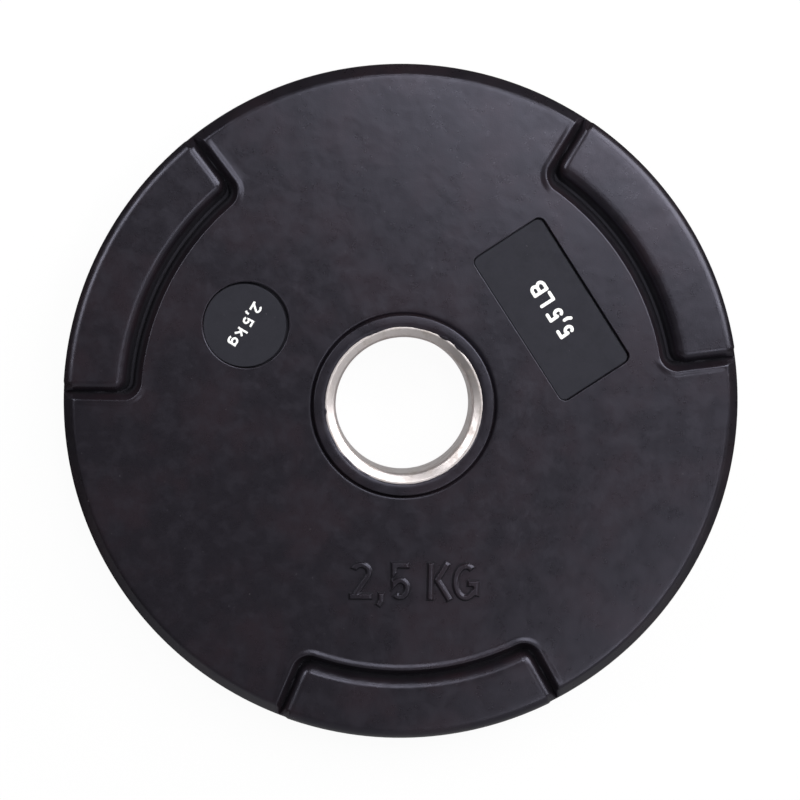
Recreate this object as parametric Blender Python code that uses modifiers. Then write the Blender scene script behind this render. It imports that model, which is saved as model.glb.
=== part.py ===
"""Urethane-coated weight plate for a barbell sleeve.

A cast iron core carries a steel bushing in its bore. A urethane casing is moulded round the core
and is open to the bore only. Each face of the casing has a hub ring and three grip pads, set apart
from the flat field by a groove for the fingertips. The front face also has raised numbers and two
sunk badges with printed weights.

The plate lies flat with its bore along Z. Lengths are in metres, and Z is up.
"""

import math

import bmesh
import bpy
from mathutils import Matrix, Vector

MM = 0.001

# Overall sizes
PLATE_RADIUS = 126.0 * MM
FIELD_THICKNESS = 19.0 * MM
HUB_RISE = 2.0 * MM

# Bore and bushing
BORE_RADIUS = 25.2 * MM
BUSHING_WALL = 4.0 * MM
BUSHING_SINK = 0.3 * MM
LEAD_IN_WIDTH = 3.1 * MM
LEAD_IN_DEPTH = 2.2 * MM
BUSHING_EDGE = 0.3 * MM

# Cast iron core: a boss that stays under the field, and a web that ends inside the grooves
CORE_BOSS_WALL = 4.0 * MM
CORE_BOSS_COVER = 1.5 * MM
CORE_BOSS_FOOT = 6.0 * MM
CORE_WEB_THICKNESS = 9.2 * MM
CORE_WEB_MARGIN = 4.6 * MM

# Casing
HUB_RING_WIDTH = 4.3 * MM
HUB_RING_EDGE = 0.5 * MM
RIM_EDGE_RADIUS = 5.0 * MM
RIM_DRAFT = 0.3 * MM

# Grip grooves: the band that they enclose, their width along the band and at its ends
GRIP_BAND_WIDTH = 29.4 * MM
GRIP_HALF_ANGLE = math.radians(26.0)
GRIP_AZIMUTHS = [math.radians(angle) for angle in (30.0, 150.0, 270.0)]
GROOVE_WIDTH = 8.1 * MM
GROOVE_END_WIDTH = 5.2 * MM
GROOVE_DEPTH = 6.5 * MM
GROOVE_FIELD_RUN = 3.6 * MM
GROOVE_PAD_RUN = 2.4 * MM
GROOVE_CORNER = 6.5 * MM
PAD_CORNER = 2.5 * MM

# Marks on the front face, all centred between the hub ring and the grooves
LABEL_AZIMUTH, ROUND_AZIMUTH, MOULDED_AZIMUTH = GRIP_AZIMUTHS
MARK_TWIST = math.radians(-4.0)
LABEL_LENGTH = 62.5 * MM
LABEL_WIDTH = 30.0 * MM
LABEL_CORNER = 2.5 * MM
ROUND_BADGE_RADIUS = 15.5 * MM
BADGE_THICKNESS = 1.6 * MM
BADGE_SINK = 0.5 * MM
PRINT_THICKNESS = 0.2 * MM
PRINT_LIFT = 0.1 * MM
MOULDED_RISE = 0.8 * MM
MOULDED_ROOT = 0.8 * MM

# Lettering: characters, capital height, and stroke width and letter gap as shares of that height
MOULDED_TEXT = ("2,5 KG", 14.1 * MM, 0.18, 0.07)
ROUND_TEXT = ("2,5 kg", 4.8 * MM, 0.21, 0.10)
LABEL_TEXT = ("5,5 LB", 6.4 * MM, 0.23, 0.12)
CHARACTER_NAMES = {",": "comma"}
WORD_SPACE = 0.30

# Clearance between pieces that touch on the real plate, and the fineness of round shapes
GAP = 0.3 * MM
CUT_MARGIN = 1.0 * MM
WELD_DISTANCE = 0.001 * MM
TURN_STEPS = 96
ARC_STEPS = 5
BAND_STEPS = 14
DISC_STEPS = 64

# Worked out from the sizes above; heights here are measured from the middle plane
FIELD_LEVEL = FIELD_THICKNESS / 2
HUB_LEVEL = FIELD_LEVEL + HUB_RISE
BUSHING_RADIUS = BORE_RADIUS + BUSHING_WALL
BUSHING_SEAT_RADIUS = BUSHING_RADIUS + GAP
HUB_RING_RADIUS = BUSHING_SEAT_RADIUS + HUB_RING_WIDTH
GROOVE_RADIUS = PLATE_RADIUS - GRIP_BAND_WIDTH
GROOVE_FLOOR = FIELD_LEVEL - GROOVE_DEPTH
CORE_BOSS_LEVEL = FIELD_LEVEL - CORE_BOSS_COVER
MARK_RADIUS = (HUB_RING_RADIUS + GROOVE_RADIUS) / 2
BADGE_LEVEL = FIELD_LEVEL - BADGE_SINK
PLATE_MIDDLE = Matrix.Translation((0.0, 0.0, HUB_LEVEL))


def clear_scene():
    """Remove every object from the scene."""
    for scene_object in list(bpy.data.objects):
        bpy.data.objects.remove(scene_object, do_unlink=True)


def new_collection(name):
    """Add a collection to the scene."""
    collection = bpy.data.collections.new(name)
    bpy.context.scene.collection.children.link(collection)
    return collection


def new_material(name, colour, roughness, metallic=0.0):
    """Make a Principled BSDF material."""
    material = bpy.data.materials.new(name)
    material.use_nodes = True
    shader = material.node_tree.nodes["Principled BSDF"]
    shader.inputs["Base Color"].default_value = (*colour, 1.0)
    shader.inputs["Roughness"].default_value = roughness
    shader.inputs["Metallic"].default_value = metallic
    return material


def add_object(name, mesh, collection, material=None):
    """Put a mesh into the scene as an object."""
    scene_object = bpy.data.objects.new(name, mesh)
    collection.objects.link(scene_object)
    if material:
        mesh.materials.append(material)
    return scene_object


def add_cutter(name, mesh, collection):
    """Put a mesh into the scene as a tool for a Boolean, which is never rendered."""
    cutter = add_object(name, mesh, collection)
    cutter.hide_render = True
    cutter.display_type = "WIRE"
    return cutter


def combine(target, tool, operation):
    """Cut the tool from the target, or join it to the target."""
    modifier = target.modifiers.new(f"{operation.lower()} {tool.name}", "BOOLEAN")
    modifier.operation = operation
    modifier.object = tool
    modifier.solver = "EXACT"


def arc(centre_x, centre_y, radius, start, end, steps):
    """Points along an arc, both ends included."""
    angles = [start + (end - start) * step / steps for step in range(steps + 1)]
    return [(centre_x + radius * math.cos(angle), centre_y + radius * math.sin(angle)) for angle in angles]


def whole_section(upper_half):
    """Close a section that is symmetric about the middle plane, given from its inside edge outwards."""
    return upper_half + [(radius, -height) for radius, height in reversed(upper_half) if height > 0]


def turned(name, section, collection, material, steps=TURN_STEPS):
    """Turn a closed section of (radius, height) points round the bore's axis."""
    mesh = bpy.data.meshes.new(name)
    edges = [(index, (index + 1) % len(section)) for index in range(len(section))]
    mesh.from_pydata([(radius, 0.0, height) for radius, height in section], edges, [])
    mesh.transform(PLATE_MIDDLE)
    solid = add_object(name, mesh, collection, material)
    screw = solid.modifiers.new("turn", "SCREW")
    screw.steps = steps
    screw.render_steps = steps
    screw.use_merge_vertices = True
    screw.merge_threshold = WELD_DISTANCE
    screw.use_smooth_shade = True
    return solid


def loft(name, sections):
    """Closed mesh through sections of (outline, height) that have equally many points."""
    shape = bmesh.new()
    rings = [[shape.verts.new((x, y, height)) for x, y in outline] for outline, height in sections]
    shape.faces.new(rings[0])
    shape.faces.new(rings[-1])
    for lower, upper in zip(rings, rings[1:]):
        for index in range(len(lower)):
            shape.faces.new((lower[index - 1], lower[index], upper[index], upper[index - 1]))
    bmesh.ops.recalc_face_normals(shape, faces=shape.faces)
    mesh = bpy.data.meshes.new(name)
    shape.to_mesh(mesh)
    shape.free()
    return mesh


def flat_solid(name, outlines, low, high):
    """Solid between two heights, made from a filled 2D curve; an outline inside another is a hole."""
    curve = bpy.data.curves.new(name, "CURVE")
    curve.dimensions = "2D"
    curve.fill_mode = "BOTH"
    curve.extrude = (high - low) / 2
    for outline in outlines:
        spline = curve.splines.new("POLY")
        spline.points.add(len(outline) - 1)
        for point, (x, y) in zip(spline.points, outline):
            point.co = (x, y, 0.0, 1.0)
        spline.use_cyclic_u = True
    carrier = bpy.data.objects.new(curve.name, curve)
    bpy.context.scene.collection.objects.link(carrier)
    depsgraph = bpy.context.evaluated_depsgraph_get()
    mesh = bpy.data.meshes.new_from_object(carrier.evaluated_get(depsgraph))
    bpy.data.objects.remove(carrier, do_unlink=True)
    shape = bmesh.new()
    shape.from_mesh(mesh)
    bmesh.ops.remove_doubles(shape, verts=shape.verts, dist=WELD_DISTANCE)
    bmesh.ops.recalc_face_normals(shape, faces=shape.faces)
    bmesh.ops.translate(shape, verts=shape.verts, vec=(0.0, 0.0, (high + low) / 2))
    shape.to_mesh(mesh)
    shape.free()
    return mesh


def band_outline(inner_radius, end_inset, corner):
    """Outline round +X of a band that runs out past the rim.

    Its inner side is an arc. Its ends lie parallel to radial lines at the grip's half angle, moved
    in by the inset, and its two inner corners are rounded.
    """
    outer_radius = PLATE_RADIUS + 10 * CUT_MARGIN
    corner_reach = inner_radius + corner
    corner_angle = GRIP_HALF_ANGLE - math.asin((end_inset + corner) / corner_reach)
    corner_x = corner_reach * math.cos(corner_angle)
    corner_y = corner_reach * math.sin(corner_angle)
    outer_angle = GRIP_HALF_ANGLE - math.asin(end_inset / outer_radius)
    inner_side = arc(0.0, 0.0, inner_radius, -corner_angle, corner_angle, BAND_STEPS)
    corner_start = corner_angle + math.pi
    upper_corner = arc(corner_x, corner_y, corner, corner_start, GRIP_HALF_ANGLE + math.pi / 2, ARC_STEPS)
    lower_corner = [(x, -y) for x, y in reversed(upper_corner)]
    outer_side = arc(0.0, 0.0, outer_radius, outer_angle, -outer_angle, BAND_STEPS)
    return inner_side[1:-1] + upper_corner + outer_side + lower_corner


def grip_block(name, inner_inset, end_inset, corner, lean, low, high):
    """Band with sloping walls between two depths; the insets hold at field level.

    A wall moves in by the lean for each unit of depth.
    """
    sections = []
    for level in (low, high):
        shift = lean * (FIELD_LEVEL - level)
        outline = band_outline(GROOVE_RADIUS + inner_inset + shift, end_inset + shift, corner)
        sections.append((outline, level))
    return loft(name, sections)


def rounded_rectangle(length, width, corner):
    """Outline of a rectangle with rounded corners, with its length along X."""
    outline = []
    for quarter, (side_x, side_y) in enumerate(((1, 1), (-1, 1), (-1, -1), (1, -1))):
        centre_x = side_x * (length / 2 - corner)
        centre_y = side_y * (width / 2 - corner)
        start = quarter * math.pi / 2
        outline += arc(centre_x, centre_y, corner, start, start + math.pi / 2, ARC_STEPS)
    return outline


def mark_frame(azimuth, twist=0.0):
    """Place of a mark whose top points at the bore."""
    place = Vector((MARK_RADIUS * math.cos(azimuth), MARK_RADIUS * math.sin(azimuth), 0.0))
    return PLATE_MIDDLE @ Matrix.Translation(place) @ Matrix.Rotation(azimuth + math.pi / 2 + twist, 4, "Z")


def ellipse_arc(centre_x, centre_y, radius_x, radius_y, start, end):
    """Points along part of an ellipse, with its angles in degrees."""
    circle = arc(0.0, 0.0, 1.0, math.radians(start), math.radians(end), 2 * ARC_STEPS)
    return [(centre_x + radius_x * x, centre_y + radius_y * y) for x, y in circle]


def character_strokes(character, weight):
    """Centre lines of a character's strokes and how each ends, for a capital height of 1.

    An end is square to its stroke, level with the baseline, or joined to the stroke's start.
    """
    half = weight / 2
    top = 1 - half
    if character == "2":
        bowl = (0.58 - weight) / 2
        return [
            (ellipse_arc(0.29, top - bowl, bowl, bowl, 165, -38) + [(half + 0.03, half)], "square"),
            ([(0.0, half), (0.58, half)], "square"),
        ]
    if character == "5":
        reach = (0.54 - weight) / 2
        rise = (0.62 - weight) / 2
        bowl = ellipse_arc(0.54 - half - reach, half + rise, reach, rise, 140, -140)
        return [([(0.5, top), (half + 0.02, top), bowl[0]] + bowl[1:], "square")]
    if character == ",":
        return [([(half + 0.09, weight + 0.02), (half + 0.09, 0.0), (half, -0.16)], "square")]
    if character == "K":
        return [
            ([(half, 0.0), (half, 1.0)], "level"),
            ([(0.70 - weight * 0.75, 1.0), (half, 0.26)], "level"),
            ([(weight * 1.3, 0.56), (0.70 - weight * 0.62, 0.0)], "level"),
        ]
    if character == "G":
        reach = (0.68 - weight) / 2
        bowl = ellipse_arc(half + reach, 0.5, reach, 0.5 - half, 48, 318)
        return [(bowl + [(0.68 - half, 0.22), (0.68 - half, 0.46), (0.36, 0.46)], "square")]
    if character == "k":
        return [
            ([(half, 0.0), (half, 1.04)], "level"),
            ([(0.52 - weight * 0.75, 0.70), (half, 0.16)], "level"),
            ([(weight * 1.3, 0.42), (0.56 - weight * 0.62, 0.0)], "level"),
        ]
    if character == "g":
        reach = (0.50 - weight) / 2
        loop = ellipse_arc(half + reach, -0.10, reach, 0.14, -215, 75)
        return [
            (ellipse_arc(half + reach, 0.48, reach, 0.16, 0, 342), "joined"),
            ([(half + reach, 0.64), (0.58, 0.66)], "square"),
            ([(half + 0.07, 0.36), (half + 0.01, 0.20), (0.30, 0.10)] + loop[::-1][2:], "square"),
        ]
    if character == "L":
        return [([(half, 1.0), (half, half), (0.48, half)], "square")]
    if character == "B":
        waist = 0.53
        upper = (top - waist) / 2
        lower = (waist - half) / 2
        upper_bowl = ellipse_arc(0.50 - half - upper, waist + upper, upper, upper, 90, -90)
        lower_bowl = ellipse_arc(0.54 - half - lower, half + lower, lower, lower, 90, -90)
        return [
            ([(half, 0.0), (half, 1.0)], "level"),
            ([(half, top)] + upper_bowl + [(half, waist)], "square"),
            ([(half, waist)] + lower_bowl + [(half, half)], "square"),
        ]
    raise ValueError(f"no strokes for {character}")


def thick_outlines(path, width, ends):
    """Outlines of a stroke: its centre line moved to both sides by half its width, with mitred corners."""
    points = [Vector(point) for point in path]
    count = len(points)
    left, right = [], []
    for index, point in enumerate(points):
        joined = ends == "joined"
        before = (point - points[index - 1]).normalized() if index or joined else None
        after = (points[(index + 1) % count] - point).normalized() if index + 1 < count or joined else None
        normals = [Vector((-run.y, run.x)) for run in (before, after) if run]
        if len(normals) == 2:
            shift = (normals[0] + normals[1]) / (1 + normals[0].dot(normals[1]))
        elif ends == "level":
            shift = Vector((1 / normals[0].x, 0.0))
        else:
            shift = normals[0]
        left.append(point + shift * width / 2)
        right.append(point - shift * width / 2)
    return [left, right] if ends == "joined" else [left + right[::-1]]


def lettering(prefix, layout, place, low, high, collection, cutters, material=None):
    """Add a line of characters, centred on a place, each one solid made of its joined strokes."""
    characters, cap_height, weight, letter_gap = layout
    solids = []
    pen = 0.0
    for position, character in enumerate(characters, 1):
        if character == " ":
            pen += WORD_SPACE * cap_height
            continue
        name = f"{prefix}_{position}_{CHARACTER_NAMES.get(character, character)}"
        meshes = []
        for path, ends in character_strokes(character, weight):
            scaled = [(x * cap_height, y * cap_height) for x, y in path]
            outlines = thick_outlines(scaled, weight * cap_height, ends)
            mesh = flat_solid(name, outlines, low, high)
            mesh.transform(Matrix.Translation((pen, 0.0, 0.0)))
            meshes.append(mesh)
        pen = max(vertex.co.x for mesh in meshes for vertex in mesh.vertices) + letter_gap * cap_height
        solids.append((name, meshes))
    line_length = pen - letter_gap * cap_height
    centring = place @ Matrix.Translation((-line_length / 2, -cap_height / 2, 0.0))
    characters_made = []
    for name, meshes in solids:
        for mesh in meshes:
            mesh.transform(centring)
        character_solid = add_object(name, meshes[0], collection, material)
        for number, mesh in enumerate(meshes[1:], 2):
            combine(character_solid, add_cutter(f"{name}_stroke_{number}", mesh, cutters), "UNION")
        characters_made.append(character_solid)
    return characters_made


def core_section(clearance):
    """Upper half of the core's section, grown by a clearance, from its bore outwards."""
    boss_radius = BUSHING_SEAT_RADIUS + CORE_BOSS_WALL
    web_radius = GROOVE_RADIUS - CORE_WEB_MARGIN
    return [
        (BUSHING_SEAT_RADIUS, CORE_BOSS_LEVEL + clearance),
        (boss_radius + clearance, CORE_BOSS_LEVEL + clearance),
        (boss_radius + CORE_BOSS_FOOT + clearance, CORE_WEB_THICKNESS / 2 + clearance),
        (web_radius + clearance, CORE_WEB_THICKNESS / 2 + clearance),
    ]


def casing_section():
    """Closed section of the casing: its outside from ring to ring, then the seat of the core."""
    wall_radius = PLATE_RADIUS - RIM_DRAFT
    edge_centre = (wall_radius - RIM_EDGE_RADIUS, FIELD_LEVEL - RIM_EDGE_RADIUS)
    outside = [
        (BUSHING_SEAT_RADIUS, HUB_LEVEL),
        (HUB_RING_RADIUS - HUB_RING_EDGE, HUB_LEVEL),
        (HUB_RING_RADIUS, HUB_LEVEL - HUB_RING_EDGE),
        (HUB_RING_RADIUS, FIELD_LEVEL),
        *arc(*edge_centre, RIM_EDGE_RADIUS, math.pi / 2, 0.0, ARC_STEPS),
        (PLATE_RADIUS, 0.0),
    ]
    seat = whole_section(core_section(GAP))
    return whole_section(outside) + list(reversed(seat))


def make_core(parts):
    """Cast iron disc: a boss round the bushing, a web and a thinner rim under the grip grooves."""
    iron = new_material("cast_iron", (0.05, 0.05, 0.055), 0.7, 0.7)
    return turned("iron_core", whole_section(core_section(0.0)), parts, iron)


def make_bushing(parts):
    """Steel sleeve for the barbell, with a conical lead-in at both ends."""
    steel = new_material("brushed_steel", (0.62, 0.6, 0.58), 0.3, 1.0)
    end_level = HUB_LEVEL - BUSHING_SINK
    upper_half = [
        (BORE_RADIUS, end_level - LEAD_IN_DEPTH),
        (BORE_RADIUS + LEAD_IN_WIDTH, end_level),
        (BUSHING_RADIUS - BUSHING_EDGE, end_level),
        (BUSHING_RADIUS, end_level - BUSHING_EDGE),
    ]
    return turned("steel_bushing", whole_section(upper_half), parts, steel)


def cut_grip_grooves(casing, cutters):
    """Cut the groove round each of the three grip pads, on both faces of the casing."""
    field_lean = GROOVE_FIELD_RUN / GROOVE_DEPTH
    pad_lean = GROOVE_PAD_RUN / GROOVE_DEPTH
    above = FIELD_LEVEL + CUT_MARGIN
    below = GROOVE_FLOOR - CUT_MARGIN
    for side_name, side in (("front", 1.0), ("back", -1.0)):
        for number, azimuth in enumerate(GRIP_AZIMUTHS, 1):
            place = PLATE_MIDDLE @ Matrix.Rotation(azimuth, 4, "Z")
            label = f"{side_name}_{number}"
            pocket = grip_block(f"pocket_{label}", 0.0, 0.0, GROOVE_CORNER, field_lean, GROOVE_FLOOR, above)
            pad_insets = (GROOVE_WIDTH, GROOVE_END_WIDTH)
            pad = grip_block(f"pad_{label}", *pad_insets, PAD_CORNER, -pad_lean, below, above + CUT_MARGIN)
            for mesh in (pocket, pad):
                if side < 0:
                    mesh.transform(Matrix.Diagonal((1.0, 1.0, -1.0, 1.0)))
                    mesh.flip_normals()
                mesh.transform(place)
            groove = add_cutter(f"groove_{label}", pocket, cutters)
            combine(groove, add_cutter(f"keep_{label}", pad, cutters), "DIFFERENCE")
            combine(casing, groove, "DIFFERENCE")


def badge_outlines():
    """Name, outline, place and clearance-grown outline of each badge."""
    label = rounded_rectangle(LABEL_LENGTH, LABEL_WIDTH, LABEL_CORNER)
    label_seat = rounded_rectangle(LABEL_LENGTH + 2 * GAP, LABEL_WIDTH + 2 * GAP, LABEL_CORNER + GAP)
    disc, disc_seat = [
        arc(0.0, 0.0, radius, 0.0, 2 * math.pi, DISC_STEPS)[:-1]
        for radius in (ROUND_BADGE_RADIUS, ROUND_BADGE_RADIUS + GAP)
    ]
    return (
        ("label_badge", label, label_seat, mark_frame(LABEL_AZIMUTH)),
        ("round_badge", disc, disc_seat, mark_frame(ROUND_AZIMUTH, MARK_TWIST)),
    )


def make_casing(parts, cutters):
    """Urethane moulding with its hub rings, grip pads, badge seats and raised numbers."""
    urethane = new_material("black_urethane", (0.045, 0.042, 0.05), 0.45)
    casing = turned("urethane_casing", casing_section(), parts, urethane)
    cut_grip_grooves(casing, cutters)
    seat_floor = BADGE_LEVEL - BADGE_THICKNESS - GAP
    for name, _, seat_outline, place in badge_outlines():
        seat = flat_solid(f"{name}_seat", [seat_outline], seat_floor, FIELD_LEVEL + CUT_MARGIN)
        seat.transform(place)
        combine(casing, add_cutter(f"{name}_seat", seat, cutters), "DIFFERENCE")
    place = mark_frame(MOULDED_AZIMUTH, MARK_TWIST)
    low = FIELD_LEVEL - MOULDED_ROOT
    high = FIELD_LEVEL + MOULDED_RISE
    for number in lettering("moulded", MOULDED_TEXT, place, low, high, cutters, cutters):
        number.hide_render = True
        number.display_type = "WIRE"
        combine(casing, number, "UNION")
    return casing


def make_badges(parts, cutters):
    """Two sunk badges, each with its weight printed in separate characters."""
    inlay = new_material("badge_urethane", (0.04, 0.04, 0.042), 0.5)
    ink = new_material("white_ink", (0.9, 0.9, 0.9), 0.5)
    for name, outline, _, place in badge_outlines():
        badge = flat_solid(name, [outline], BADGE_LEVEL - BADGE_THICKNESS, BADGE_LEVEL)
        badge.transform(place)
        add_object(name, badge, parts, inlay)
    low = BADGE_LEVEL + PRINT_LIFT
    high = low + PRINT_THICKNESS
    lettering("pound_print", LABEL_TEXT, mark_frame(LABEL_AZIMUTH), low, high, parts, cutters, ink)
    place = mark_frame(ROUND_AZIMUTH, MARK_TWIST)
    lettering("kilogram_print", ROUND_TEXT, place, low, high, parts, cutters, ink)


def main():
    """Build the whole plate."""
    clear_scene()
    parts = new_collection("urethane_weight_plate")
    cutters = new_collection("cutters")
    make_core(parts)
    make_bushing(parts)
    make_casing(parts, cutters)
    make_badges(parts, cutters)


if __name__ == "__main__":
    main()
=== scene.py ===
"""Surfaces, finishes and studio of a urethane-coated weight plate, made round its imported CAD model.

The file is laid out as an add-on and is run as a script. Lengths are in metres and +Z is the plate's
bore, pointing out of the face with the badges.
"""

import math
from functools import partial

import bpy
import numpy as np
from bpy.props import FloatProperty, FloatVectorProperty, PointerProperty
from mathutils import Matrix, Vector


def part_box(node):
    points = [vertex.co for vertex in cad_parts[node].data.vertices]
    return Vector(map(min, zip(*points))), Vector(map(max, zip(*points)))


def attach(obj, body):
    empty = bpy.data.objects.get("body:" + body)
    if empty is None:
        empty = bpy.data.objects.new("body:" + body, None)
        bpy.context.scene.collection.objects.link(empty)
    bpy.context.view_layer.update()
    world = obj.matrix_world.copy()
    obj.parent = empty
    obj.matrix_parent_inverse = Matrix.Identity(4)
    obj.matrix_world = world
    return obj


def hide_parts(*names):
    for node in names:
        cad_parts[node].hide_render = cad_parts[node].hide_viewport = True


bl_info = {
    "name": "Coated Weight Plate",
    "version": (1, 0, 0),
    "blender": (4, 5, 0),
    "location": "View3D > Sidebar > Weight Plate",
    "description": "Builds a coated weight plate and its studio",
    "category": "Object",
}

MM = 0.001
BODY = "root"

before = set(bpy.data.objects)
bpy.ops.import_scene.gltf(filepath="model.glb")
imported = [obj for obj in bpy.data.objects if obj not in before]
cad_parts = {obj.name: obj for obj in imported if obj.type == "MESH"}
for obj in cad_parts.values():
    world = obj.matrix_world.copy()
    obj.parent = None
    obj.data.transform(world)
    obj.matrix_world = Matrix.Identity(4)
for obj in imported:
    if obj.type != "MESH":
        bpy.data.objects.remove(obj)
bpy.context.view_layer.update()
casing_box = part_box("urethane_casing")
bushing_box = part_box("steel_bushing")

# A level is a height over the plate's middle plane.
PLATE_RADIUS = casing_box[1].x
PLATE_MIDDLE = (casing_box[0].z + casing_box[1].z) / 2
HUB_LEVEL = casing_box[1].z - PLATE_MIDDLE
HUB_RISE_MM = 2.0
FIELD_LEVEL = HUB_LEVEL - HUB_RISE_MM * MM
BUSHING_RADIUS = bushing_box[1].x
BUSHING_LEVEL = bushing_box[1].z - PLATE_MIDDLE
GRIP_AZIMUTHS = np.radians([30.0, 150.0, 270.0])
LABEL_AZIMUTH, ROUND_AZIMUTH, NUMBER_AZIMUTH = (float(azimuth) for azimuth in GRIP_AZIMUTHS)

# Profile of the hub ring in mm: its top as (out from the inside wall, down), its shoulder as (out from the
# ring's radius, down), and its foot as (out from the ring's radius, up from the field)
RING_TOP = np.array([(0.0, 1.5), (0.0, 0.25), (0.07, 0.08), (0.25, 0.0), (1.5, 0.0)])
RING_SHOULDER = np.array([(-1.0, 0.0), (-0.72, 0.04), (-0.56, 0.18), (-0.48, 0.45)])
RING_FOOT = np.array(
    [(-0.3, 0.35), (-0.2, -0.3), (0.1, -0.8), (0.5, -0.3), (0.8, -0.09), (1.2, -0.02), (1.6, 0.0)]
)

# How much of the field's swell runs along each grip's long groove
LONG_SWELLS = (0.0, 0.0, 1.0)

# Bumps of the flash on the bushing: azimuth and width in degrees, and size in mm
FLASH_BUMPS = (
    (57, 3.5, 0.75), (44, 4.0, 0.45), (74, 9, 0.25), (108, 9, 0.4), (181, 2.5, 0.5),
    (203, 6, 0.35), (222, 9, 0.55), (238, 4, 0.45), (300, 20, 0.15), (345, 8, 0.2),
)

# Edge of a badge from its underside to its face, in mm: (down from the face, in from the edge)
BADGE_EDGE = np.array(
    [(2.6, 0.3), (1.6, 0.0), (0.5, 0.0), (0.12, 0.0), (0.03, 0.05), (0.0, 0.2), (0.0, 0.6), (0.0, 1.4)]
)

# Shares of the capital height: a stroke's width and a space
STROKE = 0.2
SPACE = 0.33

# Characters whose right side is taken at the last point of their centre lines, without half a stroke
NARROW = "2L5"

# Direction that the shoulders of the raised numbers face, from the right of the writing
LIT_SIDE = math.radians(34)

# Studio: linear colours, and lengths in metres unless the name says otherwise
WHITE = (1.0, 1.0, 1.0, 1.0)
UNLIT_FLOOR = (0.03, 0.03, 0.03, 1.0)
FLOOR_HALF = 3.0
LAMP_DISTANCE = 1.2
LENS_MM = 78.03
CAMERA_AIM_MM = (-1.05, 1.4)

# Direction in degrees round the plate and from above, and size in metres
LAMPS = {
    "overhead": (56, 21, (0.65, 0.35)),
    "key": (32, 43, (0.65, 0.25)),
    "left": (148, 54, (0.8, 0.35)),
    "far": (78, 46, (0.3, 0.25)),
    "front": (312, 31, (0.5, 0.3)),
    "right": (30, 63, (1.0, 0.5)),
}

# Setting of the range nodes that ease from one end to the other, as eased() does
EASED = {"interpolation_type": "SMOOTHSTEP"}


def linear(hex_colour):
    """Linear RGBA of an sRGB colour written as six hex digits."""
    encoded = np.array([int(hex_colour[start : start + 2], 16) / 255 for start in (0, 2, 4)])
    decoded = np.where(encoded <= 0.04045, encoded / 12.92, ((encoded + 0.055) / 1.055) ** 2.4)
    return (*decoded.tolist(), 1.0)


# Settings


def length(name, description, size_mm):
    """Length setting with its default in millimetres."""
    default = size_mm * MM
    return FloatProperty(name=name, description=description, default=default, unit="LENGTH", precision=5)


def angle(name, description, degrees):
    """Angle setting with its default in degrees."""
    return FloatProperty(name=name, description=description, default=math.radians(degrees), subtype="ANGLE")


def power(name, description, watts):
    """Power setting of a lamp, in watts."""
    return FloatProperty(name=name, description=description, default=watts, min=0.0, unit="POWER")


def colour(name, description, hex_colour):
    """Colour setting with its default as sRGB hex."""
    limits = {"size": 4, "min": 0.0, "max": 1.0, "subtype": "COLOR"}
    return FloatVectorProperty(name=name, description=description, default=linear(hex_colour), **limits)


class CasingSettings(bpy.types.PropertyGroup):
    """Sizes and colours of the moulded casing."""

    hub_rise: length("Hub rise", "Height of the hub ring over the field", HUB_RISE_MM)
    ring_radius: length("Ring radius", "Outside radius of the hub ring at its foot", 33.8)
    field_edge: length("Field edge", "Width of the bevelled edge of the field at the rim", 5.4)
    bevel_top: length("Bevel top", "Radius at the top of the bevel", 2.5)
    bevel_low: length("Bevel foot", "Radius between the bevel and the rim", 4.0)
    lip_inset: length("Lip inset", "How far the swell stands inside the edge of a long groove", 2.2)
    lip_width: length("Lip width", "Width of the swell of the field round a groove", 2.1)
    lip_height: length("Lip height", "Height of the swell of the field round a groove", 0.42)
    pad_edge: length("Pad edge", "Rounding between a grip pad and the rim", 4.7)
    rim_draft: length("Rim draft", "How much further out the rim is at its middle", 0.3)
    groove_radius: length("Groove radius", "Inner edge of the grip grooves", 96.6)
    groove_width: length("Groove width", "Width of a grip groove along the rim", 8.1)
    end_width: length("Groove end width", "Width of a grip groove at the ends of its pad", 5.2)
    groove_depth: length("Groove depth", "Depth of a grip groove under the field", 6.5)
    field_rounding: length("Field rounding", "Rounding of the groove's edge on the field's side", 0.2)
    field_steepest: angle("Field wall", "Steepest angle of the groove's wall on the field's side", 60.0)
    pad_rounding: length("Pad rounding", "Rounding of a grip pad's edge in the groove", 3.6)
    pad_steepest: angle("Pad wall", "Steepest angle of the groove's wall on the pad's side", 68.0)
    pad_overlap: length("Pad overlap", "How far inside a pad's edge its rounding starts", 1.9)
    field_corner: length("Groove corner", "Corner radius of the groove's outside edge", 6.5)
    pad_corner: length("Pad corner", "Corner radius of a grip pad", 2.5)
    half_angle: angle("Grip half angle", "Half of the angle that a groove takes up", 26.0)
    shade: colour("Urethane", "Colour of the moulded casing", "151216")
    bloom: colour("Bloom", "Colour of the faint cloudy patches on the casing", "1E171B")


class BushingSettings(bpy.types.PropertyGroup):
    """Sizes and colour of the steel bushing."""

    bore_radius: length("Bore radius", "Radius of the bore", 25.2)
    lead_in_width: length("Lead-in width", "Width of the conical lead-in", 3.1)
    lead_in_depth: length("Lead-in depth", "Depth of the conical lead-in", 2.2)
    edge: length("Edge", "Rounding of the turned edges", 0.25)
    shade: colour("Steel", "Colour of the turned steel", "D2CBCA")


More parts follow.
